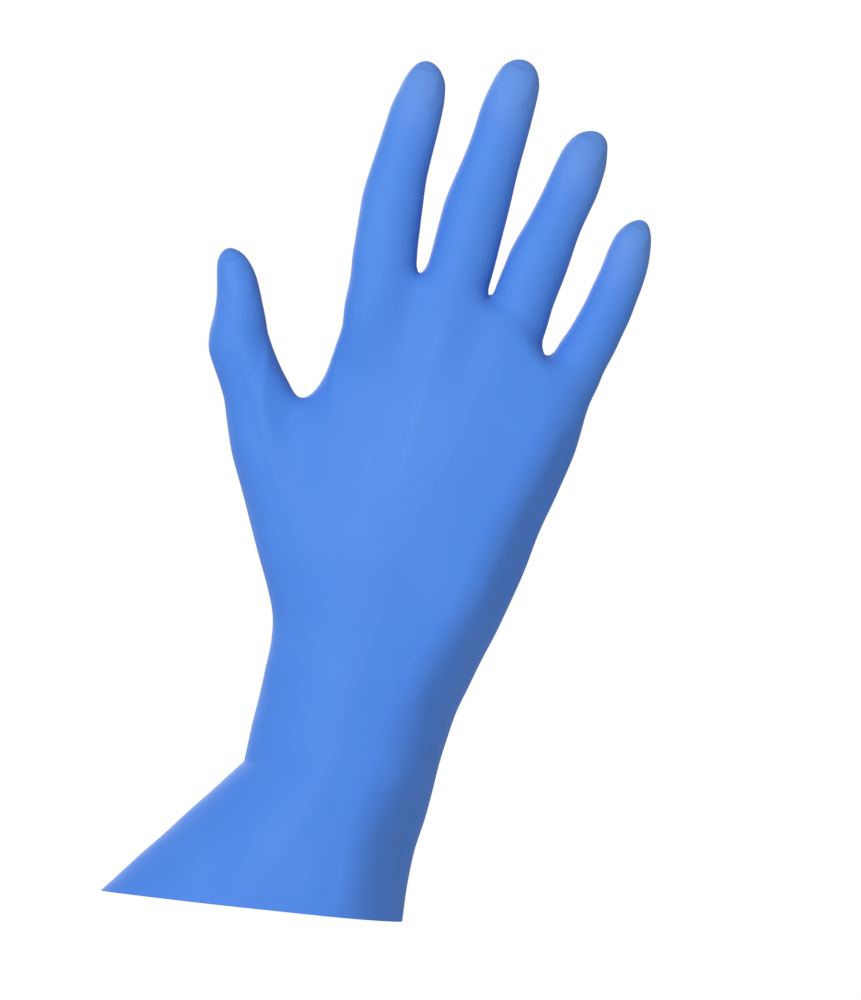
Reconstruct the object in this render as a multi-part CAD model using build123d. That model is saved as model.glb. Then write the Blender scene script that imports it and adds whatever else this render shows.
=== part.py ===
from build123d import *
import math
import os

# Disposable nitrile glove, right hand, in its worn shape.
# Millimetres.  The origin is the centre of the cuff mouth, the mouth lies in z = 0,
# +Z runs towards the finger tips, -Y is the back of the hand and +Y is the palm side.
#
# The real glove is one dipped film.  It is divided here where it bends when it is worn.
# Each region beyond a flex line starts in a ball that sits inside the sleeve before it,
# so the film stays closed while the region turns.

os.makedirs("parts", exist_ok=True)

# ---------------------------------------------------------------- driving dimensions
WALL = 0.15            # film thickness
GAP = 0.15             # clearance between a ball root and the sleeve around it
MITRE_CLEAR = 0.25     # clearance at the cut rims of a sleeve
BEAD_W = 1.1           # rolled bead at the hem: how far it stands inwards
BEAD_H = 1.5           # rolled bead at the hem: height

MOUTH_HALF_W = 42.96   # cuff mouth, half width across X
MOUTH_HALF_D = 27.0    # cuff mouth, half depth across Y

# sections of the cuff: z, left x, right x, half depth
CUFF = [
    (0.0, -MOUTH_HALF_W, MOUTH_HALF_W, MOUTH_HALF_D),
    (40.7, -6.9, 48.2, 22.6),
    (55.0, -5.3, 50.7, 21.2),
    (70.0, -4.1, 55.7, 20.6),
]

DEV_C = Vector(25.0, 0, 70.0)      # wrist, side to side: hinge along Y
DEV_R, DEV_HD = 28.4, 20.05        # ball root: radius across XZ, half depth across Y
DEV_LEFT, DEV_RIGHT = 12.0, 20.0   # degrees towards the thumb side, towards the little finger side
DEV_CUT = 17.0                     # the ball root is open below this depth

# sections of the wrist sleeve above the side-to-side hinge
WRIST = [
    (70.0, DEV_C.X - DEV_R, DEV_C.X + DEV_R, DEV_HD),
    (79.0, -3.3, 59.2, 20.15),
    (88.0, -4.4, 62.2, 20.25),
]

WFL_C = Vector(28.3, 0, 88.0)      # wrist, to and fro: hinge along X
WFL_HW, WFL_R = 31.8, 19.75        # ball root: half width across X, radius across YZ
WFL_RANGE = 40.0                   # degrees each way
WFL_CUT = 14.0

# sections of the palm: centre x, centre z, half width, half depth, tilt in degrees
PALM = [
    (WFL_C.X, 83.0, 29.6, 18.4, 0.0),
    (31.2, 98.0, 33.9, 17.6, 0.0),
    (35.2, 115.0, 34.9, 15.2, -2.0),
    (40.0, 135.0, 36.8, 14.0, -6.0),
    (43.2, 157.0, 37.0, 13.2, -12.3),
]

KNUCKLE = (-15.0, 60.0)    # flexion at the root of each finger stall
MIDDLE = (-3.0, 80.0)      # flexion at the middle joint
END = (-3.0, 45.0)         # flexion at the end joint

# finger stalls: root, middle joint, end joint, tip centre; outer radii at those places
FINGERS = {
    "index": dict(p=[(18.3, 0, 181.0), (18.8, 2.6, 206.0), (22.1, 6.0, 228.0), (24.2, 8.8, 240.1)],
                  socket=9.75, r=[9.40, 8.95, 7.85, 5.5]),
    "middle": dict(p=[(38.7, 0, 179.8), (42.9, 2.7, 206.5), (47.5, 6.2, 229.0), (50.4, 9.2, 242.6)],
                   socket=9.85, r=[9.50, 9.30, 8.00, 6.2]),
    "ring": dict(p=[(57.4, 0, 174.0), (63.0, 2.4, 196.0), (69.2, 5.4, 214.6), (72.9, 7.8, 224.7)],
                 socket=9.35, r=[9.00, 8.40, 7.60, 5.8]),
    "little": dict(p=[(75.2, 0, 160.5), (82.2, 1.8, 179.8), (86.6, 3.8, 193.6), (88.8, 5.6, 201.8)],
                   socket=8.35, r=[8.00, 7.30, 6.60, 4.9]),
}
ROOT_LEN = 24.0            # how far a finger socket reaches back into the palm

# thumb: start of the thumb's base, root of the stall, end joint, tip centre
THUMB_P = [(3.0, 5.0, 104.0), (-12.6, 8.2, 137.4), (-21.0, 10.2, 160.5), (-24.7, 12.2, 180.9)]
THUMB_R = [12.2, 10.2, 9.05, 5.0]
FOLD_A = Vector(-4.0, 8.0, 84.0)   # the thumb's base folds about the line from here
FOLD_B = Vector(6.0, 8.0, 156.0)   # to here
FOLD_MAX = 30.0                    # degrees towards the palm side
THUMB_PAD = 35.0                   # the thumb's pad faces this far round from +Y to +X
THUMB_ROOT = (-5.0, 40.0)
THUMB_END = (-8.0, 60.0)

ROOT_HOLE = 38.0           # half angle of the opening at the bottom of a ball root


# ---------------------------------------------------------------- helpers
def unit(v):
    return v / v.length


def turned(v, axis, degrees):
    """v turned about axis, right handed."""
    k, t = unit(axis), math.radians(degrees)
    return v * math.cos(t) + k.cross(v) * math.sin(t) + k * (k.dot(v) * (1 - math.cos(t)))


def ellipse_solid(sections, inset=0.0):
    """Ruled solid through ellipses: centre x, centre z, half width, half depth, tilt."""
    faces = []
    for cx, cz, hw, hd, tilt in sections:
        t = math.radians(tilt)
        pl = Plane(origin=(cx, 0, cz), x_dir=(math.cos(t), 0, math.sin(t)), z_dir=(-math.sin(t), 0, math.cos(t)))
        faces.append(pl * Ellipse(hw - inset, hd - inset))
    return loft([f.face() if hasattr(f, "face") else f for f in faces], ruled=True)


def from_edges(rows):
    return [((a + b) / 2, z, (b - a) / 2, hd, 0.0) for z, a, b, hd in rows]


def half_space(origin, normal, radius, height):
    pl = Plane(origin=origin, z_dir=normal)
    return pl.location * Cylinder(radius, height, align=(Align.CENTER, Align.CENTER, Align.MIN))


def rim_cutters(hinge, back, ahead, axis, limits, half_width, height):
    """What is taken off the end of a sleeve so that the next region can turn about axis.

    Each cutter is 2 x half_width along the hinge and 44 mm the other way."""
    out = []
    for angle in (limits[0], 0.0, limits[1]):
        n = unit(unit(back) + turned(unit(ahead), axis, angle))
        pl = Plane(origin=hinge - n * MITRE_CLEAR, x_dir=unit(axis - n * n.dot(axis)), z_dir=n)
        out.append(pl.location * Box(2 * half_width, 44, height, align=(Align.CENTER, Align.CENTER, Align.MIN)))
    return out


def stall(p0, p1, r0, r1, closed=False, wall=WALL, hole=ROOT_HOLE):
    """A hollow cone with a ball root at p0, open at p1 or closed by a round tip there."""
    length = (p1 - p0).length
    b = math.radians(hole)
    ri0, ri1 = r0 - wall, r1 - wall
    mid = math.radians((hole + 90) / 2)
    a0, a1 = (r0 * math.sin(b), -r0 * math.cos(b)), (ri0 * math.sin(b), -ri0 * math.cos(b))
    pl = Plane(origin=p0, z_dir=p1 - p0)
    prof = Plane(origin=p0, x_dir=pl.x_dir, z_dir=-pl.y_dir)

    def to3(q):
        return prof.from_local_coords(Vector(q[0], q[1], 0))

    outer_arc = Edge.make_three_point_arc(to3(a0), to3((r0 * math.sin(mid), -r0 * math.cos(mid))), to3((r0, 0)))
    inner_arc = Edge.make_three_point_arc(to3((ri0, 0)), to3((ri0 * math.sin(mid), -ri0 * math.cos(mid))), to3(a1))
    edges = [outer_arc, Edge.make_line(to3((r0, 0)), to3((r1, length)))]
    if closed:
        c = math.sqrt(0.5)
        edges.append(Edge.make_three_point_arc(to3((r1, length)), to3((r1 * c, length + r1 * c)), to3((0, length + r1))))
        edges.append(Edge.make_line(to3((0, length + r1)), to3((0, length + ri1))))
        edges.append(Edge.make_three_point_arc(to3((0, length + ri1)), to3((ri1 * c, length + ri1 * c)), to3((ri1, length))))
    else:
        edges.append(Edge.make_line(to3((r1, length)), to3((ri1, length))))
    edges.append(Edge.make_line(to3((ri1, length)), to3((ri0, 0))))
    edges.append(inner_arc)
    edges.append(Edge.make_line(to3(a1), to3(a0)))
    face = Face(Wire(edges))
    return revolve(face, axis=Axis(p0, p1 - p0))


def solid_stall(p0, p1, r0, r1, grow=0.0):
    """The same outer shape, filled and grown, used to clear its path."""
    length = (p1 - p0).length
    pl = Plane(origin=p0, z_dir=p1 - p0)
    body = pl.location * Cone(r0 + grow, r1 + grow, length, align=(Align.CENTER, Align.CENTER, Align.MIN))
    return body + Pos(p0) * Sphere(r0 + grow) + Pos(p1) * Sphere(r1 + grow)


def spheroid(centre, along, across, axis):
    """Ellipsoid of revolution about axis: semi-axis `along` on it and `across` round it."""
    pl = Plane(origin=centre, x_dir=axis, z_dir=(0, 0, 1) if abs(axis.Z) < 0.5 else (1, 0, 0))
    prof = pl * (Ellipse(along, across) & Pos(0, across) * Rectangle(4 * along, 2 * across))
    return revolve(prof, axis=Axis(centre, axis))


def save(shape, name):
    solids = shape.solids()
    keep = [s for s in solids if s.volume > 0.5]
    out = keep[0] if len(keep) == 1 else Compound(children=keep)
    export_step(out, f"parts/{name}.step")
    print(f"{name:15s} solids {len(keep)} volume {sum(s.volume for s in keep):8.1f} mm3")


X, Y, Z = Vector(1, 0, 0), Vector(0, 1, 0), Vector(0, 0, 1)

# ---------------------------------------------------------------- cuff
cuff_sections = from_edges(CUFF)
cuff = ellipse_solid(cuff_sections) - ellipse_solid(cuff_sections, WALL)
for side, limit in ((X, DEV_RIGHT + 18.0), (-X, DEV_LEFT + 6.0)):
    # the rims slope down at both sides, where the wrist sleeve turns into them
    n = unit(Z * math.cos(math.radians(limit / 2)) + side * math.sin(math.radians(limit / 2)))
    cuff -= half_space(DEV_C - n * MITRE_CLEAR, n, 90, 40)
save(cuff, "cuff_sleeve")

k = BEAD_H / CUFF[1][0]
bead_low = cuff_sections[0]
bead_high = tuple(a + (b - a) * k for a, b in zip(cuff_sections[0], cuff_sections[1]))
bead = ellipse_solid([bead_low, bead_high], WALL) - ellipse_solid([bead_low, bead_high], WALL + BEAD_W)
save(bead, "cuff_bead")

# ---------------------------------------------------------------- wrist sleeve
wrist_sections = from_edges(WRIST)
tube = ellipse_solid(wrist_sections) - ellipse_solid(wrist_sections, WALL)
below = Pos(DEV_C.X, 0, DEV_C.Z - DEV_CUT / 2) * Box(200, 200, DEV_CUT)
ball = spheroid(DEV_C, DEV_HD, DEV_R, Y) - spheroid(DEV_C, DEV_HD - WALL, DEV_R - WALL, Y)
wrist = tube + (ball & below)
for angle in (-WFL_RANGE, 0.0, WFL_RANGE):
    n = unit(Z + turned(Z, -X, angle))
    wrist -= half_space(WFL_C - n * MITRE_CLEAR, n, 90, 60)
save(wrist, "wrist_sleeve")

# ---------------------------------------------------------------- palm
def palm_solid(inset):
    """The palm filled: its ball root, the ruled body and the four finger sockets."""
    sections = [list(s) for s in PALM]
    t = math.radians(PALM[-1][4])
    sections[-1][0] += math.sin(t) * inset
    sections[-1][1] -= math.cos(t) * inset
    solid = ellipse_solid([tuple(s) for s in sections], inset)
    floor = WFL_C.Z - WFL_CUT - (2 if inset else 0)
    above = Pos(WFL_C.X, 0, floor + 50) * Box(200, 200, 100)
    solid += spheroid(WFL_C, WFL_HW - inset, WFL_R - inset, X) & above
    for f in FINGERS.values():
        p = [Vector(*q) for q in f["p"]]
        d = unit(p[1] - p[0])
        back = p[0] - d * (ROOT_LEN - inset)
        stub = Cylinder(f["socket"] - inset, ROOT_LEN + (5 if inset else 0), align=(Align.CENTER, Align.CENTER, Align.MIN))
        solid += Plane(origin=back, z_dir=d).location * stub
    return solid


palm = palm_solid(0.0) - palm_solid(WALL)
print("palm shell", palm.is_valid, palm.volume, len(palm.solids()))
for f in FINGERS.values():
    p = [Vector(*q) for q in f["p"]]
    d = unit(p[1] - p[0])
    for c in rim_cutters(p[0], d, d, -X, KNUCKLE, f["socket"] + 0.5, 12):
        palm -= c
tp = [Vector(*q) for q in THUMB_P]
fold = unit(FOLD_B - FOLD_A)
for angle in (0.0, 10.0, 20.0, FOLD_MAX):
    q0, q1 = (FOLD_A + turned(q - FOLD_A, fold, -angle) for q in tp[:2])
    palm -= solid_stall(q0, q1, THUMB_R[0], THUMB_R[1], 0.4)
save(palm, "palm_shell")

# ---------------------------------------------------------------- finger stalls
HINGES = {}
for name, f in FINGERS.items():
    p = [Vector(*q) for q in f["p"]]
    d = [unit(b - a) for a, b in zip(p, p[1:])]
    r = f["r"]
    axis1 = unit((d[0] + d[1]).cross(Y))
    axis2 = unit((d[1] + d[2]).cross(Y))
    base = stall(p[0], p[1], r[0], r[1])
    for c in rim_cutters(p[1], d[0], d[1], axis1, MIDDLE, 30, 12):
        base -= c
    mid = stall(p[1], p[2], r[1] - WALL - GAP, r[2])
    for c in rim_cutters(p[2], d[1], d[2], axis2, END, 30, 12):
        mid -= c
    tip = stall(p[2], p[3], r[2] - WALL - GAP, r[3], closed=True)
    save(base, f"{name}_base")
    save(mid, f"{name}_middle")
    save(tip, f"{name}_tip")
    HINGES[f"{name}_knuckle"] = (p[0], -X)
    HINGES[f"{name}_bend"] = (p[1], axis1)
    HINGES[f"{name}_end"] = (p[2], axis2)

# ---------------------------------------------------------------- thumb
d = [unit(b - a) for a, b in zip(tp, tp[1:])]


def pad_axis(direction):
    across = unit(Y.cross(direction))
    pad = Y * math.cos(math.radians(THUMB_PAD)) + across * math.sin(math.radians(THUMB_PAD))
    return unit(direction.cross(pad))


taxis1, taxis2 = pad_axis(d[0] + d[1]), pad_axis(d[1] + d[2])
base = stall(tp[0], tp[1], THUMB_R[0], THUMB_R[1], hole=50)
for c in rim_cutters(tp[1], d[0], d[1], taxis1, THUMB_ROOT, 30, 12):
    base -= c
mid = stall(tp[1], tp[2], THUMB_R[1] - WALL - GAP, THUMB_R[2])
for c in rim_cutters(tp[2], d[1], d[2], taxis2, THUMB_END, 30, 12):
    mid -= c
tip = stall(tp[2], tp[3], THUMB_R[2] - WALL - GAP, THUMB_R[3], closed=True)
save(base, "thumb_base")
save(mid, "thumb_middle")
save(tip, "thumb_tip")
HINGES["thumb_fold"] = (FOLD_A + (FOLD_B - FOLD_A) * 0.4, -fold)
HINGES["thumb_root"] = (tp[1], taxis1)
HINGES["thumb_end"] = (tp[2], taxis2)
HINGES["wrist_side"] = (DEV_C, Y)
HINGES["wrist_flex"] = (WFL_C, -X)
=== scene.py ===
import math
import bpy
import numpy as np
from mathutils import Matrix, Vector


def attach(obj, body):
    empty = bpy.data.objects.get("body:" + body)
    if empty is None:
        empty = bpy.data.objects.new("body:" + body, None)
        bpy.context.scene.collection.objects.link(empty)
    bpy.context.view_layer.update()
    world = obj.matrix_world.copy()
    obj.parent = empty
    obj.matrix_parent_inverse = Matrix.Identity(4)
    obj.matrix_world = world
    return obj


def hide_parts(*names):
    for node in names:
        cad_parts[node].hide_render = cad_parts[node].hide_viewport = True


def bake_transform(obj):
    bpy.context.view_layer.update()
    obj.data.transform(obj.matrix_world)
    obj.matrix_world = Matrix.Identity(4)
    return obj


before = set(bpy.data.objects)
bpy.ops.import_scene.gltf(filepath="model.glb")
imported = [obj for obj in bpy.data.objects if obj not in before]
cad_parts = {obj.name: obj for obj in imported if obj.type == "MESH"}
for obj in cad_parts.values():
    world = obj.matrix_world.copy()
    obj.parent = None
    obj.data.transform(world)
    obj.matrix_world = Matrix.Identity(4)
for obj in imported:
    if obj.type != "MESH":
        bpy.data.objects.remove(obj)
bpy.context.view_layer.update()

MM = 0.001

# =====================================================================================
# The glove as one smooth field in millimetres: under zero inside it, over zero outside.
# Every film piece below is cut from the surface of this one field, so they all meet.
# =====================================================================================


def smin(a, b, k):
    h = np.clip(0.5 + 0.5 * (b - a) / k, 0.0, 1.0)
    return b * (1 - h) + a * h - k * h * (1 - h)


def smax(a, b, k):
    return -smin(-a, -b, k)


def step(t, a, b):
    t = np.clip((t - a) / (b - a), 0.0, 1.0)
    return t * t * (3 - 2 * t)


def spline(t, xs, ys):
    """Smooth curve through (xs, ys), straight beyond its ends."""
    xs = np.asarray(xs, float)
    ys = np.asarray(ys, float)
    h = np.diff(xs)
    d = np.diff(ys) / h
    m = np.empty_like(ys)
    m[1:-1] = (d[:-1] * h[1:] + d[1:] * h[:-1]) / (h[1:] + h[:-1])
    m[0], m[-1] = d[0], d[-1]
    i = np.clip(np.searchsorted(xs, t) - 1, 0, len(xs) - 2)
    u = (t - xs[i]) / h[i]
    u2 = u * u
    u3 = u2 * u
    r = ((2 * u3 - 3 * u2 + 1) * ys[i] + (u3 - 2 * u2 + u) * h[i] * m[i]
         + (3 * u2 - 2 * u3) * ys[i + 1] + (u3 - u2) * h[i] * m[i + 1])
    r = np.where(t < xs[0], ys[0] + m[0] * (t - xs[0]), r)
    return np.where(t > xs[-1], ys[-1] + m[-1] * (t - xs[-1]), r)


# Each stall: (x, z, half width) along its middle, its apex (x, z), its middle's y against z,
# and its depth over its width from root to apex.
STALLS = {
    "index": dict(
        st=[(16.05, 160, 10.0), (17.17, 172, 9.72), (18.17, 181, 9.32), (18.17, 187.5, 9.27), (18.22, 192.5, 9.04),
            (18.37, 198, 8.92), (18.67, 205, 8.74), (19.42, 212, 8.22), (20.67, 219.5, 7.82), (21.97, 226.8, 7.57),
            (22.77, 231.7, 7.32), (23.57, 235.5, 6.77), (24.02, 238.3, 6.22), (24.37, 240.5, 5.57), (24.52, 242.2, 4.72),
            (24.57, 243.6, 3.82)],
        apex=(24.57, 245.7),
        y=[(160, 0.6), (181, 0.0), (193, 0.8), (206, 2.6), (217, 4.0), (228, 6.0), (237, 8.0), (246, 10.4)]),
    "middle": dict(
        st=[(35.51, 160, 10.36), (37.41, 172, 9.76), (38.51, 180, 9.46), (39.81, 186.8, 9.31), (41.41, 196.7, 9.31),
            (42.81, 206, 9.16), (44.01, 211.5, 8.71), (45.21, 216.8, 8.21), (47.11, 226.1, 7.71), (48.11, 231.5, 7.61),
            (49.11, 236.4, 7.31), (50.01, 240.2, 6.86), (50.71, 243.5, 6.21), (51.16, 246.0, 5.06), (51.51, 247.4, 3.86)],
        apex=(51.91, 248.9),
        y=[(160, -0.4), (180, 0.0), (193, 0.9), (206.5, 2.7), (218, 4.3), (229, 6.2), (239, 8.4), (249, 10.8)]),
    "ring": dict(
        st=[(53.23, 155, 9.92), (55.83, 167, 9.32), (57.53, 174.5, 8.92), (59.13, 181.7, 8.67), (60.43, 186.5, 8.67),
            (61.73, 191.4, 8.62), (63.23, 196.1, 8.22), (64.93, 201, 7.67), (66.53, 205.8, 7.42), (68.13, 210.3, 7.32),
            (69.73, 215, 7.27), (71.03, 219.6, 7.02), (71.83, 222.6, 6.67), (72.63, 225.5, 5.87), (73.23, 227.2, 5.12),
            (73.93, 228.6, 4.22)],
        apex=(74.93, 230.6),
        y=[(155, 0.2), (174, 0.0), (185, 0.8), (196, 2.4), (205, 3.8), (214.6, 5.4), (222.5, 7.1), (231, 9.4)]),
    "little": dict(
        st=[(70.04, 146, 8.5), (73.54, 157, 7.7), (75.44, 161.5, 7.7), (77.44, 166.5, 7.55), (79.54, 171, 7.3),
            (81.34, 175.7, 7.0), (83.14, 180.4, 6.8), (84.64, 185.2, 6.65), (86.04, 190, 6.5), (87.14, 194.9, 6.25),
            (87.74, 197.6, 5.9), (88.34, 200.3, 5.35), (88.94, 202.3, 4.7), (89.54, 204, 3.8)],
        apex=(90.64, 206.8),
        y=[(146, 1.6), (160.5, 0.5), (170, 0.9), (180, 1.8), (187, 2.8), (194, 3.9), (201, 5.2), (207, 6.8)]),
    "thumb": dict(
        st=[(5.8, 93.4, 10.79), (2.9, 103.7, 11.49), (-1.4, 113.6, 11.49), (-5.6, 122.8, 10.99), (-9.8, 131.9, 10.39),
            (-12.9, 141.5, 9.79), (-14.4, 146.3, 9.44), (-16.7, 150.8, 8.99), (-19.0, 155.3, 8.84),
            (-20.95, 159.9, 8.79), (-21.75, 164.9, 8.24), (-22.05, 169.5, 7.14), (-22.6, 173.8, 6.34),
            (-23.4, 177.3, 5.79), (-24.3, 180, 5.24), (-25.1, 182, 4.64), (-25.8, 183.6, 3.94)],
        apex=(-27.0, 186.3),
        y=[(93, 4.0), (104, 5.4), (114, 6.4), (123, 7.2), (134, 8.0), (147, 9.0), (160.5, 10.2), (172, 11.0), (186, 12.2)]),
}
DEPTH = {
    "index": [(0, 0.95), (0.5, 0.92), (0.8, 0.88), (1, 0.86)],
    "middle": [(0, 0.95), (0.5, 0.92), (0.8, 0.88), (1, 0.86)],
    "ring": [(0, 0.95), (0.5, 0.92), (0.8, 0.88), (1, 0.86)],
    "little": [(0, 0.95), (0.5, 0.93), (0.8, 0.9), (1, 0.88)],
    "thumb": [(0, 1.15), (0.25, 1.22), (0.5, 1.02), (0.75, 0.95), (1, 0.92)],
}

# Cuff, wrist and palm: z, left, right, half depth, middle y, squareness
BODY = np.array([
    (-8, -50.2, 43.2, 28.0, 0.0, 2.0),
    (0, -43.2, 43.4, 27.0, 0.0, 2.0),
    (10, -34.2, 43.8, 25.7, 0.0, 2.0),
    (20, -25.2, 45.0, 24.5, 0.0, 2.0),
    (30, -16.3, 47.0, 23.4, 0.0, 2.0),
    (39, -8.2, 48.2, 22.6, 0.0, 2.0),
    (44, -6.8, 48.8, 22.1, 0.0, 2.0),
    (52, -5.8, 50.3, 21.3, 0.0, 2.0),
    (60, -4.8, 52.3, 20.6, 0.0, 2.05),
    (68, -3.8, 55.1, 20.1, 0.0, 2.1),
    (76, -2.9, 57.8, 19.7, 0.0, 2.15),
    (84, -2.9, 60.8, 19.0, 0.1, 2.2),
    (92, -3.2, 63.6, 17.9, 0.3, 2.25),
    (102, -2.6, 67.05, 16.6, 0.6, 2.3),
    (114, -0.9, 70.8, 15.3, 0.9, 2.35),
    (126, 1.2, 74.9, 14.3, 1.1, 2.35),
    (138, 3.0, 78.3, 13.5, 1.2, 2.35),
    (150, 4.6, 80.0, 12.7, 1.2, 2.3),
    (160, 7.2, 82.1, 11.9, 1.0, 2.3),
    (172, 9.0, 84.6, 10.6, 0.8, 2.2),
    (186, 9.8, 85.5, 8.6, 0.6, 2.1),
], float)
LEFT = np.array([(39, -8.2), (44, -6.6), (52, -5.4), (60, -4.2), (68, -3.3), (76, -2.5), (84, -2.9), (92, -4.9), (102, -8.3),
                 (114, -10.0), (126, -9.6), (134, -7.2), (140, -3.0), (146, 2.2), (152, 5.8), (160, 8.0), (172, 9.6),
                 (186, 9.8)], float)
SLOPE = np.array([(0, 12.6), (12, 13.0), (24, 13.2), (34, 11.8), (42, 9.6), (52, 9.8), (62, 10.6), (72, 10.5), (90, 9.8),
                  (120, 10.2), (132, 9.2), (141, 8), (150, 5.6), (160, 4), (186, 2)], float)
# how keen the thumb side's edge is, and how far the back of the hand leans towards the thumb
KEEN = np.array([(0, 1.5), (30, 1.55), (44, 1.66), (60, 1.72), (78, 1.8), (92, 2.1), (104, 2.35), (186, 2.4)], float)
LEAN = np.array([(0, 0.0), (80, 0.0), (100, 0.06), (116, 0.1), (142, 0.1), (164, 0.05), (186, 0.0)], float)
WEB_TOP = np.array([(-2, 150), (8, 164), (18, 177), (28.9, 183.4), (38, 182.4), (48.95, 178.4), (58, 172.5),
                    (67.1, 164.4), (76, 161.5), (86, 157), (96, 149)], float)


def stall(name, x, y, z):
    S = STALLS[name]
    st = np.array(S["st"], float)
    ap = np.array(S["apex"], float)
    p0 = st[0, :2]
    e = ap - p0
    L = float(np.hypot(*e))
    e = e / L
    n = np.array([e[1], -e[0]])
    si = (st[:, :2] - p0) @ e
    ui = (st[:, :2] - p0) @ n
    s = (x - p0[0]) * e[0] + (z - p0[1]) * e[1]
    u = (x - p0[0]) * n[0] + (z - p0[1]) * n[1]
    uc = spline(s, np.append(si, L), np.append(ui, 0.0))
    q = np.minimum(spline(s, np.append(si, L), np.append(st[:, 2] ** 2, 0.0)), 200.0)
    yy = np.array(S["y"], float)
    yc = spline(s, (yy[:, 0] - p0[1]) / e[1], yy[:, 1])
    kd = np.array(DEPTH[name], float)
    k = np.interp(s / L, kd[:, 0], kd[:, 1])
    rho2 = (u - uc) ** 2 + ((y - yc) / k) ** 2
    f = (rho2 - q) / (np.sqrt(rho2 + 4) + np.sqrt(np.maximum(q, 0) + 4))
    return smax(f, -s * 0.32 - 1.0, 9.0)


def body(x, y, z):
    B = BODY
    l = spline(z, LEFT[:, 0], LEFT[:, 1])
    r = spline(z, B[:, 0], B[:, 2])
    hd = np.maximum(spline(z, B[:, 0], B[:, 3]), 2.0)
    yc = spline(z, B[:, 0], B[:, 4])
    m = np.interp(z, B[:, 0], B[:, 5])
    flare = -43.3 + z * (36.75 / 40.9)
    l = np.where(z < 40.9, flare, np.where(z < 52, -6.55 + (z - 40.9) * (1.15 / 11.1), l))
    cx, hw = (l + r) / 2, (r - l) / 2
    # the little finger's side is fuller, and its back falls away as a slope: its width, then its turn
    right = x > cx
    full = step(150.0 - z, -6.0, 14.0)
    hw = np.where(right, hw + (2.6 + 2.2 * step(z, 70, 100)) * full, hw)
    m = np.where(right, m + (3.0 - m) * full, np.minimum(m, spline(z, KEEN[:, 0], KEEN[:, 1])))
    yc = yc - spline(z, LEAN[:, 0], LEAN[:, 1]) * (x - cx)
    a = np.abs(x - cx) / hw + 1e-6
    b = np.abs(y - yc) / hd + 1e-6
    g = (a ** m + b ** m) ** (1 / m)
    gn = np.sqrt((a ** (m - 1) / hw) ** 2 + (b ** (m - 1) / hd) ** 2) / g ** (m - 1)
    f = (g - 1) / np.maximum(gn, 1 / 45.0)
    wide = spline(z, SLOPE[:, 0], SLOPE[:, 1])
    side = 0.883 * (x - r + wide) - 0.469 * (y - yc + 0.92 * hd)
    f = smax(f, side, 8.5 - 2.7 * step(z, 50, 100))
    f = smax(f, x - r - 0.6, 3.5)
    top = spline(x, WEB_TOP[:, 0], WEB_TOP[:, 1])
    return smax(f, (z - top) * 0.85, 5.0)


def thumb_web(x, y, z):
    k = np.where(x < -0.8, 0.085, 0.17)
    top = np.minimum(145.9 + k * (x + 0.8) ** 2, 157.0)
    d = (z - top) / np.sqrt(1 + (2 * k * np.clip(x + 0.8, -9, 9)) ** 2)
    th = 4.6 + np.clip((top - z) * 0.24, 0, 8.5)
    yc = 4.9 - np.clip((x + 6) * 0.15, -1.3, 1.7)
    left = np.interp(z, [100, 104, 123, 141, 160], [4.0, 3.0, -5.8, -13.0, -20.0])
    f = smax(smax(np.abs(y - yc) - th, d, 5.0), smax(left - x, x - 14, 4), 4.0)
    return smax(f, 100 - z, 6)


def field(p):
    """Distance-like value at points p, an (n, 3) array in millimetres."""
    x, y, z = p[:, 0], p[:, 1], p[:, 2]
    out = body(x, y, z)
    high = z > 128
    if high.any():
        xs, ys, zs = x[high], y[high], z[high]
        f = [stall(n, xs, ys, zs) for n in ("index", "middle", "ring", "little")]
        four = smin(smin(f[0], f[2], 1.2), smin(f[1], f[3], 1.2), 1.2)
        out[high] = smin(out[high], four, 4.5)
    side = (z > 78) & (x < 40)
    if side.any():
        xs, ys, zs = x[side], y[side], z[side]
        t = smin(thumb_web(xs, ys, zs), stall("thumb", xs, ys, zs), 4.0)
        out[side] = smin(out[side], t, 4.5)
    return out


def gradient(p, h=0.05):
    g = np.empty_like(p)
    for a in range(3):
        d = np.zeros(3)
        d[a] = h
        g[:, a] = (field(p + d) - field(p - d)) / (2 * h)
    return g


# =====================================================================================
# The surface of the field as quads
# =====================================================================================
CELL = 0.85


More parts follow.
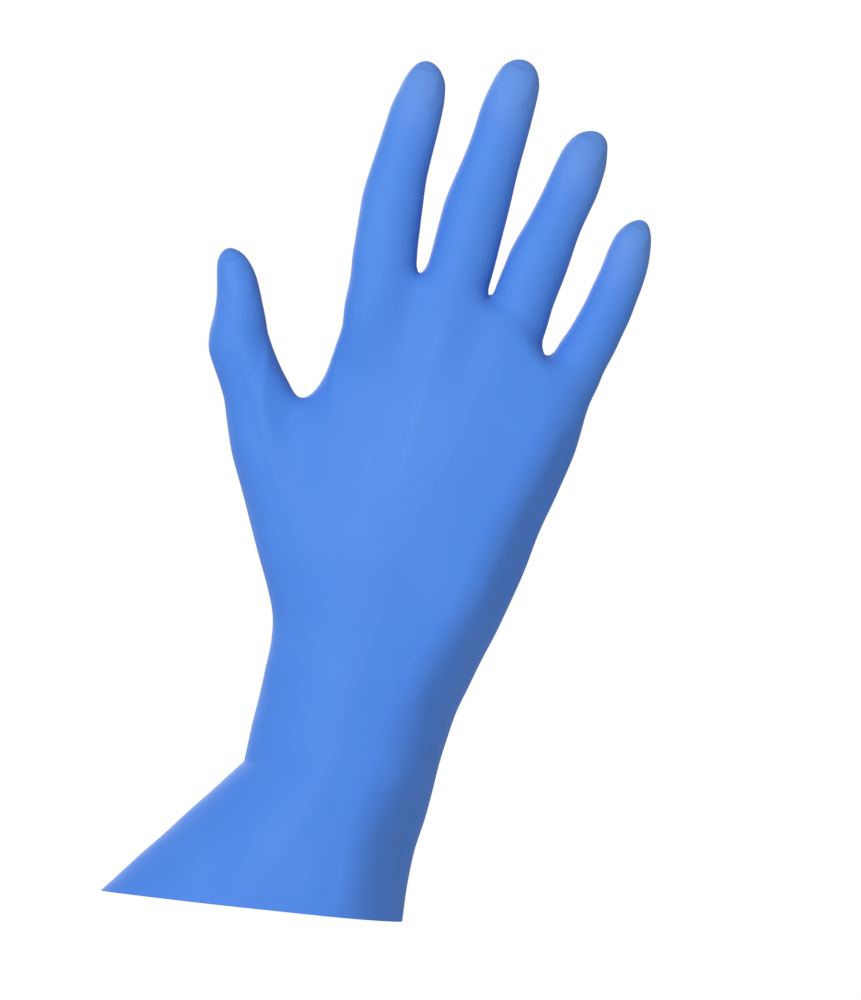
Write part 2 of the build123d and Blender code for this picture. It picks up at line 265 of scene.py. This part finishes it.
def surface():
    lo = np.array([-50.0, -33.0, -4.0])
    n = np.ceil((np.array([97.0, 36.0, 253.0]) - lo) / CELL).astype(int) + 1
    xs, ys, zs = (lo[a] + CELL * np.arange(n[a]) for a in range(3))
    F = np.empty(n)
    yy, xx = np.meshgrid(ys, xs)
    for k, z in enumerate(zs):
        F[:, :, k] = field(np.stack([xx.ravel(), yy.ravel(), np.full(xx.size, z)], 1)).reshape(xx.shape)
    neg = F < 0
    c = np.zeros(tuple(n - 1), np.int8)
    corners = [(i, j, k) for i in (0, 1) for j in (0, 1) for k in (0, 1)]
    for i, j, k in corners:
        c += neg[i:n[0] - 1 + i, j:n[1] - 1 + j, k:n[2] - 1 + k]
    act = (c > 0) & (c < 8)
    idx = np.argwhere(act)
    ids = np.full(act.shape, -1, np.int64)
    ids[act] = np.arange(len(idx))
    val = {o: F[idx[:, 0] + o[0], idx[:, 1] + o[1], idx[:, 2] + o[2]] for o in corners}
    acc = np.zeros((len(idx), 3))
    cnt = np.zeros(len(idx))
    for o in corners:
        for a in range(3):
            if o[a] == 0:
                o2 = list(o)
                o2[a] = 1
                v0, v1 = val[o], val[tuple(o2)]
                m = (v0 < 0) != (v1 < 0)
                t = v0[m] / (v0[m] - v1[m])
                q = np.tile(np.array(o, float), (int(m.sum()), 1))
                q[:, a] += t
                acc[m] += q
                cnt[m] += 1
    V = lo + CELL * (idx + acc / cnt[:, None])
    quads = []
    for a in range(3):
        b, d = (a + 1) % 3, (a + 2) % 3
        sl0, sl1 = [slice(None)] * 3, [slice(None)] * 3
        sl0[a], sl1[a] = slice(0, n[a] - 1), slice(1, n[a])
        n0, n1 = neg[tuple(sl0)], neg[tuple(sl1)]
        e = np.argwhere(n0 != n1)
        e = e[(e[:, b] > 0) & (e[:, b] < n[b] - 1) & (e[:, d] > 0) & (e[:, d] < n[d] - 1)]
        out_going = n0[e[:, 0], e[:, 1], e[:, 2]]
        ring = []
        for sb, sd in ((-1, -1), (0, -1), (0, 0), (-1, 0)):
            q = e.copy()
            q[:, b] += sb
            q[:, d] += sd
            ring.append(ids[q[:, 0], q[:, 1], q[:, 2]])
        Q = np.stack(ring, 1)
        Q[~out_going] = Q[~out_going][:, ::-1]
        quads.append(Q)
    Q = np.concatenate(quads)
    # relax along the surface and pull back onto it
    for it in range(6):
        s = np.zeros_like(V)
        w = np.zeros(len(V))
        for i in range(4):
            np.add.at(s, Q[:, i], V[Q[:, (i + 1) % 4]] + V[Q[:, (i - 1) % 4]])
            np.add.at(w, Q[:, i], 2)
        edge = V[:, 2] < zs[0] + 1.2 * CELL
        g = gradient(V)
        gl = (g ** 2).sum(1)
        nn = g / np.sqrt(gl)[:, None]
        if it < 4:
            d = (s / w[:, None] - V) * 0.5
            d -= nn * (d * nn).sum(1)[:, None]
            d[edge] = 0
            V = V + d
        f = field(V)
        V = V - np.clip(f / gl, -0.6, 0.6)[:, None] * g
    return V, Q



# =====================================================================================
# Small relief of the worn film, along the surface's normal, in millimetres
# =====================================================================================


def near_line(p, a, b, width, fade=8.0):
    """1 on the line a-b in x, z and 0 away from it, fading out over its ends."""
    a, b = np.array(a, float), np.array(b, float)
    d = b - a
    L = float(np.hypot(*d))
    d = d / L
    q = p[:, [0, 2]] - a
    s = q @ d
    u = q[:, 0] * d[1] - q[:, 1] * d[0]
    return np.exp(-(u / width) ** 2) * step(s, -fade * 0.2, fade) * (1 - step(s, L - fade, L + fade * 0.2))


def near_spot(p, c, rx, rz):
    return np.exp(-((p[:, 0] - c[0]) / rx) ** 2 - ((p[:, 2] - c[1]) / rz) ** 2)


# tip piece frames for nails: apex, direction to the root, half width of the nail, length, where its root is
NAILS = {
    "index": ((24.3, 245.7), (22.5, 231.0), 4.7, 10.5, 2.6),
    "middle": ((51.4, 248.9), (48.1, 233.0), 5.0, 11.0, 2.6),
    "ring": ((74.4, 230.6), (70.2, 218.0), 4.6, 10.0, 2.6),
    "little": ((90.1, 206.8), (87.3, 196.0), 3.7, 8.0, 2.2),
    "thumb": ((-26.6, 186.3), (-22.2, 172.0), 3.9, 11.5, 3.4),
}
TENDONS = [((18.6, 170), (21.5, 112), 1.7, 0.30), ((36.4, 176), (28.6, 122), 1.6, 0.55),
           ((54.6, 168), (36.5, 116), 1.8, 0.28), ((71.0, 156), (45.0, 110), 1.9, 0.2),
           ((39.5, 172), (36.0, 150), 1.3, 0.22)]
KNUCKLES = [((18.2, 160.0), 7.5, 8.5, 0.55), ((37.0, 163.0), 7.8, 9.0, 0.7), ((55.3, 157.0), 7.4, 8.5, 0.6),
            ((71.5, 147.0), 6.8, 8.0, 0.5)]
JOINTS = [((18.7, 206.0), 6.5, 6.0, 0.35), ((42.7, 206.8), 6.8, 6.2, 0.4), ((63.0, 196.2), 6.2, 5.6, 0.4),
          ((82.6, 179.6), 5.0, 4.8, 0.3), ((-20.8, 160.2), 6.0, 5.5, 0.35)]
# short folds across the back of the joints, at the webs and at the wrist: ends in x, z, width, height
FOLDS = [
    ((13.5, 204.6), (24.0, 203.9), 0.95, -0.16), ((13.8, 207.6), (24.2, 207.0), 0.85, -0.13),
    ((37.4, 206.4), (47.8, 204.6), 0.95, -0.16), ((38.0, 209.5), (48.2, 207.8), 0.85, -0.13),
    ((58.0, 197.2), (67.6, 194.2), 0.95, -0.15), ((59.0, 200.0), (68.4, 197.2), 0.85, -0.12),
    ((78.6, 181.0), (86.4, 178.2), 0.85, -0.13), ((-26.0, 161.6), (-15.4, 158.4), 0.95, -0.15),
    ((17.6, 228.6), (26.0, 227.4), 0.8, -0.1), ((43.0, 229.8), (51.6, 228.0), 0.8, -0.1),
    ((65.4, 215.8), (73.0, 213.2), 0.8, -0.1), ((83.4, 194.6), (89.6, 192.8), 0.75, -0.1),
    ((46.4, 176.8), (41.0, 170.0), 1.2, 0.25), ((50.4, 177.2), (56.0, 170.6), 1.2, 0.22),
    ((28.2, 181.5), (26.4, 172.0), 1.2, 0.18), ((66.6, 163.0), (70.0, 154.0), 1.2, 0.22),
    ((30.0, 68.6), (41.0, 70.6), 1.3, 0.26), ((33.5, 66.2), (42.5, 67.4), 1.1, -0.22),
    ((12.0, 58.0), (34.0, 61.5), 1.6, 0.10), ((6.0, 76.5), (30.0, 78.5), 1.8, 0.10),
    ((38.5, 62.0), (44.5, 74.0), 2.6, 0.45),
]
CUFF_FOLDS = [((16.0, 0.0), (17.5, 24.0), 2.4, 0.30), ((27.0, 0.0), (29.0, 48.0), 3.6, 0.55),
              ((-12.0, 0.0), (-2.0, 30.0), 3.0, -0.22), ((-27.0, 0.0), (-8.0, 26.0), 3.2, 0.25),
              ((3.0, 0.0), (6.5, 34.0), 2.8, -0.2), ((22.0, 4.0), (24.0, 30.0), 1.6, -0.22)]


def relief(p, n):
    back = step(-n[:, 1], 0.05, 0.6)
    palm = step(n[:, 1], 0.05, 0.6)
    h = np.zeros(len(p))
    for a, b, w, t in TENDONS:
        h += 0.36 * t * near_line(p, a, b, w * 1.15, 24.0) * back
    for c, rx, rz, t in KNUCKLES + JOINTS:
        h += 0.35 * t * near_spot(p, c, rx, rz) * back
    # hollows between the knuckles
    for c in ((27.8, 164.0), (46.2, 161.5), (63.6, 153.0)):
        h -= 0.08 * near_spot(p, c, 4.0, 10.0) * back
    for a, b, w, t in FOLDS:
        h += 0.4 * t * near_line(p, a, b, w, 3.0) * back
    for a, b, w, t in CUFF_FOLDS:
        d = np.array(b) - np.array(a)
        L = float(np.hypot(*d))
        q = p[:, [0, 2]] - np.array(a)
        s = q @ (d / L)
        u = (q[:, 0] * d[1] - q[:, 1] * d[0]) / L
        grow = 1 + 0.5 * step(-s, -L, 0)
        h += t * np.exp(-(u / (w * grow)) ** 2) * (1 - step(s, 0.35 * L, L)) * back
    # palm side: long soft folds of the cuff and the three creases of the hand
    for x0, w, t in ((-20.0, 4.0, 0.3), (-6.0, 3.0, -0.25), (9.0, 3.5, 0.35), (24.0, 3.0, -0.2), (35.0, 3.2, 0.3)):
        lean = x0 + (p[:, 2]) * (22 - x0) / 90.0
        h += t * np.exp(-((p[:, 0] - lean) / w) ** 2) * (1 - step(p[:, 2], 12, 44)) * palm
    for a, b, w, t in (((14.0, 150.0), (32.0, 150.5), 1.5, -0.45), ((32.0, 150.5), (62.0, 139.0), 1.5, -0.45),
                       ((30.0, 163.0), (48.0, 152.0), 1.4, -0.4), ((48.0, 152.0), (76.0, 146.0), 1.4, -0.4),
                       ((13.0, 148.0), (26.0, 128.0), 1.6, -0.5), ((26.0, 128.0), (30.0, 100.0), 1.6, -0.5),
                       ((4.0, 92.5), (30.0, 89.0), 1.3, -0.3), ((30.0, 89.0), (55.0, 91.0), 1.3, -0.3),
                       ((8.0, 88.0), (50.0, 85.5), 1.2, -0.22)):
        h += t * near_line(p, a, b, w, 5.0) * palm
    # palm side: pads of the hand and of each finger part
    for c, rx, rz, t in (((60.0, 112.0), 13.0, 22.0, 1.1), ((20.0, 162.0), 8.0, 7.0, 0.5), ((38.5, 166.0), 8.0, 7.0, 0.5),
                         ((56.0, 160.0), 8.0, 7.0, 0.5), ((71.0, 150.0), 7.0, 7.0, 0.5),
                         ((18.3, 194.0), 6.0, 6.0, 0.35), ((41.0, 194.0), 6.0, 6.5, 0.35), ((61.0, 185.5), 6.0, 6.0, 0.35),
                         ((79.5, 171.5), 5.0, 5.0, 0.3), ((20.4, 217.5), 5.5, 6.0, 0.4), ((45.0, 218.0), 5.5, 6.0, 0.4),
                         ((66.4, 206.0), 5.5, 5.5, 0.4), ((84.8, 187.0), 4.5, 4.5, 0.3), ((23.6, 236.0), 5.0, 5.5, 0.5),
                         ((49.4, 238.0), 5.0, 5.5, 0.5), ((72.0, 221.5), 5.0, 5.0, 0.5), ((88.2, 199.5), 4.0, 4.0, 0.4)):
        h += t * near_spot(p, c, rx, rz) * palm
    for a, b in (((9.0, 206.5), (29.0, 204.8)), ((33.0, 208.3), (53.0, 204.8)), ((54.0, 198.6), (72.0, 193.2)),
                 ((75.0, 182.4), (90.0, 177.4)), ((14.0, 228.8), (30.0, 226.2)), ((39.0, 230.8), (56.0, 227.6)),
                 ((61.0, 217.0), (77.0, 212.0)), ((80.0, 195.8), (93.0, 191.6))):
        h += -0.35 * near_line(p, a, b, 1.2, 2.0) * palm
    # nails under the film
    for name, (tip, root, hw, length, start) in NAILS.items():
        tip, root = np.array(tip), np.array(root)
        d = (root - tip) / np.hypot(*(root - tip))
        q = p[:, [0, 2]] - tip
        s = q @ d - start
        u = q[:, 0] * d[1] - q[:, 1] * d[0]
        if name == "thumb":
            u = u + 1.2
        wide = hw * np.sqrt(np.clip(1 - (np.clip((s - 0.62 * length) / (0.5 * length), 0, 1)) ** 2, 0, 1))
        inside = step(wide - np.abs(u), -0.8, 0.6) * step(s, -0.7, 0.5) * (1 - step(s, length - 1.0, length + 0.8))
        h += (0.32 * inside - 0.16 * np.exp(-((s + 0.8) / 0.9) ** 2) * (np.abs(u) < hw)) * back
    # slow unevenness of a sheer film over a hand
    x, y, z = p[:, 0], p[:, 1], p[:, 2]
    h *= step(z, 0.8, 7.0)
    h += 0.05 * np.sin(x * 0.31 + 0.11 * z + 1.3) * np.sin(z * 0.17 - 0.07 * x) + 0.035 * np.sin(y * 0.5 + z * 0.23 + x * 0.19)
    return h


# =====================================================================================
# Cutting it into the film's regions
# =====================================================================================
N_B = np.array([-0.2, 0.0, 0.98])       # cuff, wrist and palm
CUFF_END, WRIST_END, PALM_RIGID = 46.0, 64.0, 84.0
N_F = np.array([-0.994, 0.0, 0.109])    # the base of the thumb
FOLD_AT, FOLD_FULL = 12.85, 22.0
N_T = np.array([-0.33, 0.0, 0.945])     # along the thumb
THUMB_CUT, THUMB_MID, THUMB_FULL = 142.5, 154.0, 167.5


def unit(v):
    v = np.array(v, float)
    return v / np.linalg.norm(v)


# along each finger from its knuckle hinge: where its three pieces start, and where each has turned fully
CUTS = {
    "index": ((24.4, 10.0, 245.7), (6.0, 22.0), (22.0, 39.5), (39.5, 55.0)),
    "middle": ((51.6, 10.5, 248.9), (4.4, 21.5), (21.5, 40.0), (41.0, 57.0)),
    "ring": ((74.6, 9.2, 230.6), (4.3, 18.5), (18.5, 34.0), (34.5, 48.5)),
    "little": ((90.2, 6.6, 206.8), (3.6, 16.5), (16.5, 30.0), (30.0, 41.0)),
}
FINGER = {}
for name, (apex, *zones) in CUTS.items():
    root = np.array({"index": (18.3, 0, 181.0), "middle": (38.7, 0, 179.8), "ring": (57.4, 0, 174.0),
                     "little": (75.2, 0, 160.5)}[name], float)
    FINGER[name] = dict(root=root, dir=unit(np.array(apex) - root), zones=zones)


def build_pieces():
    V, Q = surface()
    g = gradient(V)
    n = g / np.linalg.norm(g, axis=1)[:, None]
    V = V + n * relief(V, n)[:, None]
    me = bpy.data.meshes.new("work")
    me.from_pydata(V.tolist(), [], Q.tolist())
    import bmesh
    bm = bmesh.new()
    bm.from_mesh(me)
    bpy.data.meshes.remove(me)

    def centres():
        bm.faces.ensure_lookup_table()
        return np.array([f.calc_center_median() for f in bm.faces])

    def cut(select, co, no, drop=False):
        c = centres()
        pick = np.nonzero(select(c))[0]
        faces = [bm.faces[i] for i in pick]
        edges = {e for f in faces for e in f.edges}
        verts = {v for f in faces for v in f.verts}
        bmesh.ops.bisect_plane(bm, geom=list(verts) + list(edges) + faces, dist=1e-5, plane_co=co, plane_no=no,
                               clear_inner=drop)

    cut(lambda c: c[:, 2] < 3, (0, 0, 0), (0, 0, 1), drop=True)
    for at in (CUFF_END, WRIST_END):
        cut(lambda c: np.abs(c @ N_B - at) < 2.5, N_B * at / (N_B @ N_B), N_B)
    cut(lambda c: (np.abs(c @ N_F - FOLD_AT) < 2.5) & (c[:, 2] < 156) & (c[:, 2] > 70) & (c[:, 0] < 12),
        N_F * FOLD_AT / (N_F @ N_F), N_F)
    for at in (THUMB_CUT, THUMB_MID):
        cut(lambda c: (np.abs(c @ N_T - at) < 2.5) & (c[:, 0] < -2.0), N_T * at / (N_T @ N_T), N_T)

    def owner(c):
        """Which finger each point above the palm belongs to."""
        f = np.stack([stall(n_, c[:, 0], c[:, 1], c[:, 2]) for n_ in FINGER], 1)
        return np.array(list(FINGER))[f.argmin(1)], f.min(1)

    for name, F in FINGER.items():
        for a, b in F["zones"]:
            o = F["root"] + F["dir"] * a

            def near(c):
                m = (np.abs((c - o) @ F["dir"]) < 2.5) & (c[:, 2] > 150)
                k = np.nonzero(m)[0]
                if len(k):
                    m[k] = owner(c[k])[0] == name
                return m
            cut(near, o, F["dir"])

    bm.normal_update()
    c = centres()
    lab = np.full(len(c), "", dtype="<U24")
    pb = c @ N_B
    lab[:] = "palm_film"
    lab[pb < WRIST_END] = "wrist_film"
    lab[pb < CUFF_END] = "cuff_film"
    thumb = (c[:, 0] < -2.0) & (c @ N_T > THUMB_CUT)
    fold = (c @ N_F > FOLD_AT) & (c[:, 2] > 80) & (c[:, 2] < 156) & (c[:, 0] < 9) & ~thumb & (pb > PALM_RIGID - 3)
    lab[fold] = "thumb_base_film"
    lab[thumb] = "thumb_middle_film"
    lab[thumb & (c @ N_T > THUMB_MID)] = "thumb_tip_film"
    up = np.nonzero((c[:, 2] > 155) & (c[:, 0] > 0))[0]
    own, _ = owner(c[up])
    for name, F in FINGER.items():
        s = (c[up] - F["root"]) @ F["dir"]
        m = own == name
        for part, (a, b) in zip(("base", "middle", "tip"), F["zones"]):
            lab[up[m & (s > a)]] = f"{name}_{part}_film"

    bm.verts.ensure_lookup_table()
    P = np.array([v.co for v in bm.verts])
    N = np.array([v.normal for v in bm.verts])
    faces = [[v.index for v in f.verts] for f in bm.faces]
    bm.free()
    return P, N, faces, lab


FILM = 0.3


def pale_tip_and_painted_highlight(p):
    """1 where the film is drawn fine and pale over a fingertip, fading to 0 down the finger, plus painted highlight
    streaks over the back of the hand.
    """
    out = np.zeros(len(p))
    for name, S in STALLS.items():
        d = np.hypot(p[:, 0] - S["apex"][0], p[:, 2] - S["apex"][1])
        out = np.maximum(out, (0.3 if name == "thumb" else 1.0) * (1 - step(d, 7.0, 27.0)))
    # painted highlight: paler streaks over the middle finger's tendon and the knuckles beside it, on the back only
    back = step(-p[:, 1], 1.0, 6.0)
    for a, b, w, t in (((38.0, 178.0), (33.3, 154.7), 1.9, 0.26), ((34.2, 160.0), (29.0, 122.0), 1.8, 0.24),
                       ((35.0, 172.0), (16.0, 98.0), 13.0, 0.24), ((47.6, 170.0), (45.6, 154.0), 3.2, 0.2)):
        out = out + t * near_line(p, a, b, w, 12.0) * back
    return out


def shell(name, P, N, faces):
    """The faces as a closed film: outer skin, inner skin and the rims between them."""
    used = np.unique(np.concatenate([np.array(f) for f in faces]))
    new = np.full(len(P), -1)
    new[used] = np.arange(len(used))
    k = len(used)
    outer = P[used]
    nn = N[used]
    verts = np.concatenate([outer, outer - nn * FILM])
    polys = [[int(new[i]) for i in f] for f in faces]
    seen = {}
    for f in polys:
        for a, b in zip(f, f[1:] + f[:1]):
            key = (a, b) if a < b else (b, a)
            seen[key] = None if key in seen else (a, b)
    inner = [[i + k for i in reversed(f)] for f in polys]
    rims = [[b, a, a + k, b + k] for ab in seen.values() if ab for a, b in (ab,)]
    me = bpy.data.meshes.new(name)
    me.from_pydata((verts * MM).tolist(), [], polys + inner + rims)
    me.polygons.foreach_set("use_smooth", np.ones(len(me.polygons), bool))
    li = np.empty(len(me.loops), np.int32)
    me.loops.foreach_get("vertex_index", li)
    two = np.concatenate([nn, -nn])
    ln = two[li]
    first_rim = sum(len(f) for f in polys) * 2
    fn = np.array([p.normal for p in list(me.polygons)[2 * len(polys):]]).reshape(-1, 3)
    if len(fn):
        ln[first_rim:] = np.repeat(fn, 4, axis=0)
    me.normals_split_custom_set(ln.tolist())
    a = me.attributes.new("rest_mm", "FLOAT_VECTOR", "POINT")
    a.data.foreach_set("vector", verts.astype(np.float32).ravel())
    # vertex attribute: paler fingertips and painted highlight streaks on the back of the hand
    a = me.attributes.new("pale_tip_and_painted_highlight", "FLOAT", "POINT")
    a.data.foreach_set("value", pale_tip_and_painted_highlight(verts).astype(np.float32))
    me.update()
    o = bpy.data.objects.new(name, me)
    bpy.context.scene.collection.objects.link(o)
    return o


P, N, faces, lab = build_pieces()
counts = {n: int((lab == n).sum()) for n in sorted(set(lab))}
print(counts)
made = {}
for name in counts:
    made[name] = shell(name, P, N, [faces[i] for i in np.nonzero(lab == name)[0]])


def mm(v):
    return tuple(float(c) * MM for c in v)


def bend(o):
    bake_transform(o)


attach(made["cuff_film"], "cuff")
bend(made["wrist_film"])
bend(made["palm_film"])
bend(made["thumb_base_film"])
bend(made["thumb_middle_film"])
bend(made["thumb_tip_film"])
for name, F in FINGER.items():
    for part, (a, b), (up, down) in zip(("base", "middle", "tip"), F["zones"],
                                        (("palm", "base"), ("base", "middle"), ("middle", "tip"))):
        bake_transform(made[f"{name}_{part}_film"])
for name in made:
    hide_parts({"cuff_film": "cuff_sleeve", "wrist_film": "wrist_sleeve", "palm_film": "palm_shell"}.get(
        name, name.replace("_film", "")))


def hem():
    """The rolled bead inside the cuff's mouth."""
    n, m, r = 240, 14, 0.52
    t = 2 * math.pi * np.arange(n) / n
    ray = np.stack([np.cos(t), np.sin(t) * 0.7, np.zeros(n)], 1)
    ray /= np.linalg.norm(ray, axis=1)[:, None]
    o = np.array([0.0, 0.0, 0.55])
    lo, hi = np.full(n, 10.0), np.full(n, 70.0)
    for _ in range(40):
        k = (lo + hi) / 2
        inside = field(o + ray * k[:, None]) < 0
        lo, hi = np.where(inside, k, lo), np.where(inside, hi, k)
    rim = o + ray * lo[:, None]
    outs = gradient(rim)
    outs[:, 2] = 0
    outs /= np.linalg.norm(outs, axis=1)[:, None]
    path = rim - outs * (FILM + r + 0.03)
    verts, fs = [], []
    for i in range(n):
        t = 2 * math.pi * i / n
        centre, out = path[i], outs[i]
        wob = 0.03 * math.sin(9 * t + 0.7) + 0.02 * math.sin(23 * t)
        for j in range(m):
            q = 2 * math.pi * j / m
            verts.append(centre + out * (r + wob) * math.cos(q) + np.array([0, 0, 1]) * (r + wob * 0.5) * math.sin(q))
    for i in range(n):
        for j in range(m):
            a, b = i * m + j, i * m + (j + 1) % m
            c2, d2 = ((i + 1) % n) * m + (j + 1) % m, ((i + 1) % n) * m + j
            fs.append([a, d2, c2, b])
    me = bpy.data.meshes.new("hem_bead")
    me.from_pydata([mm(v) for v in verts], [], fs)
    me.polygons.foreach_set("use_smooth", np.ones(len(me.polygons), bool))
    a = me.attributes.new("rest_mm", "FLOAT_VECTOR", "POINT")
    a.data.foreach_set("vector", np.array(verts, np.float32).ravel())
    o = bpy.data.objects.new("hem_bead", me)
    bpy.context.scene.collection.objects.link(o)
    return o


bead = hem()
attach(bead, "cuff")
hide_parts("cuff_bead")

# =====================================================================================
# Materials
# =====================================================================================


def film_material(name, deep, bright, pale_tip_and_highlight_colour, rough):
    m = bpy.data.materials.new(name)
    m.use_nodes = True
    nt = m.node_tree
    N_ = nt.nodes
    L = nt.links
    N_.clear()
    out = N_.new("ShaderNodeOutputMaterial")
    bs = N_.new("ShaderNodeBsdfPrincipled")
    L.new(bs.outputs[0], out.inputs[0])
    at = N_.new("ShaderNodeAttribute")
    at.attribute_name = "rest_mm"

    def noise(scale, detail, rough_=0.5):
        t = N_.new("ShaderNodeTexNoise")
        t.inputs["Scale"].default_value = scale
        t.inputs["Detail"].default_value = detail
        t.inputs["Roughness"].default_value = rough_
        L.new(at.outputs["Vector"], t.inputs["Vector"])
        return t

    def ramp(src, lo, hi, a, b):
        r = N_.new("ShaderNodeMapRange")
        r.inputs["From Min"].default_value = lo
        r.inputs["From Max"].default_value = hi
        r.inputs["To Min"].default_value = a
        r.inputs["To Max"].default_value = b
        L.new(src, r.inputs["Value"])
        return r.outputs["Result"]

    cloud = noise(0.045, 3.0)
    grain = noise(1.6, 4.0, 0.6)
    micro = noise(5.5, 2.0, 0.6)
    # colour: slow clouding of the dip, paler higher up the hand, a fine grain, a paler tone where the film is drawn
    # fine over the tips, and painted highlight streaks over the back of the hand
    sep = N_.new("ShaderNodeSeparateXYZ")
    L.new(at.outputs["Vector"], sep.inputs[0])
    high = ramp(sep.outputs["Z"], 150.0, 245.0, 0.0, 0.45)
    mixv = N_.new("ShaderNodeMath")
    mixv.operation = "ADD"
    mixv.use_clamp = True
    L.new(ramp(cloud.outputs["Fac"], 0.3, 0.7, 0.12, 0.42), mixv.inputs[0])
    L.new(high, mixv.inputs[1])
    mixg = N_.new("ShaderNodeMath")
    mixg.operation = "ADD"
    mixg.use_clamp = True
    L.new(mixv.outputs[0], mixg.inputs[0])
    L.new(ramp(grain.outputs["Fac"], 0.3, 0.7, -0.08, 0.08), mixg.inputs[1])
    mc = N_.new("ShaderNodeMix")
    mc.data_type = "RGBA"
    mc.inputs["A"].default_value = (*deep, 1)
    mc.inputs["B"].default_value = (*bright, 1)
    L.new(mixg.outputs[0], mc.inputs["Factor"])
    # paler tone of the fingertips, which also paints highlight streaks over the back of the hand
    tip = N_.new("ShaderNodeAttribute")
    tip.attribute_name = "pale_tip_and_painted_highlight"
    mt = N_.new("ShaderNodeMix")
    mt.data_type = "RGBA"
    mt.inputs["B"].default_value = (*pale_tip_and_highlight_colour, 1)
    L.new(mc.outputs["Result"], mt.inputs["A"])
    L.new(ramp(tip.outputs["Fac"], 0.0, 1.0, 0.0, 0.85), mt.inputs["Factor"])
    L.new(mt.outputs["Result"], bs.inputs["Base Color"])
    L.new(ramp(grain.outputs["Fac"], 0.3, 0.7, rough - 0.05, rough + 0.06), bs.inputs["Roughness"])
    bs.inputs["Specular IOR Level"].default_value = 0.16
    bs.inputs["IOR"].default_value = 1.52
    bs.inputs["Subsurface Weight"].default_value = 0.0
    bs.inputs["Sheen Weight"].default_value = 0.06
    bs.inputs["Sheen Roughness"].default_value = 0.5
    bs.inputs["Sheen Tint"].default_value = (0.55, 0.72, 1.0, 1)
    b1 = N_.new("ShaderNodeBump")
    b1.inputs["Strength"].default_value = 0.10
    b1.inputs["Distance"].default_value = 0.00006
    L.new(micro.outputs["Fac"], b1.inputs["Height"])
    b2 = N_.new("ShaderNodeBump")
    b2.inputs["Strength"].default_value = 0.35
    b2.inputs["Distance"].default_value = 0.00012
    L.new(grain.outputs["Fac"], b2.inputs["Height"])
    L.new(b1.outputs[0], b2.inputs["Normal"])
    L.new(b2.outputs[0], bs.inputs["Normal"])
    return m


# the third colour is the pale tone of the fingertips and of the painted highlight streaks
film = film_material("nitrile_film", (0.050, 0.175, 0.585), (0.069, 0.210, 0.622), (0.100, 0.231, 0.604), 0.62)
roll = film_material("rolled_bead", (0.026, 0.120, 0.500), (0.044, 0.155, 0.560), (0.05, 0.16, 0.56), 0.45)
for o in made.values():
    o.data.materials.append(film)
bead.data.materials.append(roll)

# =====================================================================================
# Stage, light and camera
# =====================================================================================


def stage():
    me = bpy.data.meshes.new("floor")
    R, n = 1.25, 128
    verts = [(0.03, 0, -0.10)] + [(0.03 + R * math.cos(2 * math.pi * i / n), R * math.sin(2 * math.pi * i / n), -0.10) for i in range(n)]
    me.from_pydata(verts, [], [(0, 1 + i, 1 + (i + 1) % n) for i in range(n)])
    o = bpy.data.objects.new("floor", me)
    bpy.context.scene.collection.objects.link(o)
    m = bpy.data.materials.new("pale_floor")
    m.use_nodes = True
    t = m.node_tree
    t.nodes.clear()
    end = t.nodes.new("ShaderNodeOutputMaterial")
    pale = t.nodes.new("ShaderNodeBsdfDiffuse")
    pale.inputs["Color"].default_value = (0.80, 0.80, 0.80, 1)
    t.links.new(pale.outputs[0], end.inputs[0])
    me.materials.append(m)


stage()

w = bpy.data.worlds.new("studio")
bpy.context.scene.world = w
w.use_nodes = True
nt = w.node_tree
nt.nodes.clear()
wo = nt.nodes.new("ShaderNodeOutputWorld")
mixs = nt.nodes.new("ShaderNodeMixShader")
lp = nt.nodes.new("ShaderNodeLightPath")
seen = nt.nodes.new("ShaderNodeBackground")
soft = nt.nodes.new("ShaderNodeBackground")
seen.inputs[0].default_value = (1, 1, 1, 1)
seen.inputs[1].default_value = 1.0
soft.inputs[0].default_value = (1, 1, 1, 1)
soft.inputs[1].default_value = 0.40
nt.links.new(lp.outputs["Is Camera Ray"], mixs.inputs[0])
nt.links.new(soft.outputs[0], mixs.inputs[1])
nt.links.new(seen.outputs[0], mixs.inputs[2])
nt.links.new(mixs.outputs[0], wo.inputs[0])


def area(name, where, target, size, power, colour=(1, 1, 1)):
    l = bpy.data.lights.new(name, "AREA")
    l.shape = "DISK"
    l.size = size
    l.energy = power
    l.color = colour
    o = bpy.data.objects.new(name, l)
    o.location = where
    o.rotation_mode = "QUATERNION"
    o.rotation_quaternion = (Vector(target) - Vector(where)).to_track_quat("-Z", "Y")
    bpy.context.scene.collection.objects.link(o)
    return o


mid = (0.03, 0.0, 0.12)
area("key", (-1.25, -2.75, 1.36), mid, 2.0, 100.0)
area("fill", (2.3, -0.9, 0.4), mid, 1.6, 6.0)
area("palm_light", (-1.35, 2.45, 0.85), mid, 1.6, 40.0)

cam = bpy.data.cameras.new("camera")
cam.sensor_width = 36.0
cam.lens = 600.0
right = Vector((0.99432, 0.0, 0.10644))
up = Vector((-0.10644, 0.0, 0.99432))
back = right.cross(up)
dist = (0.2857 / 2) / (18.0 / 600.0)
centre = Vector((0.0385, 0.0, 0.1208))
co = bpy.data.objects.new("camera", cam)
co.rotation_mode = "QUATERNION"
from mathutils import Matrix
co.rotation_quaternion = Matrix((right, up, back)).transposed().to_quaternion()
co.location = centre + back * dist
cam.clip_start, cam.clip_end = 0.1, 20.0
bpy.context.scene.collection.objects.link(co)
bpy.context.scene.camera = co
bpy.context.scene.view_settings.view_transform = "Standard"
bpy.context.scene.view_settings.look = "None"
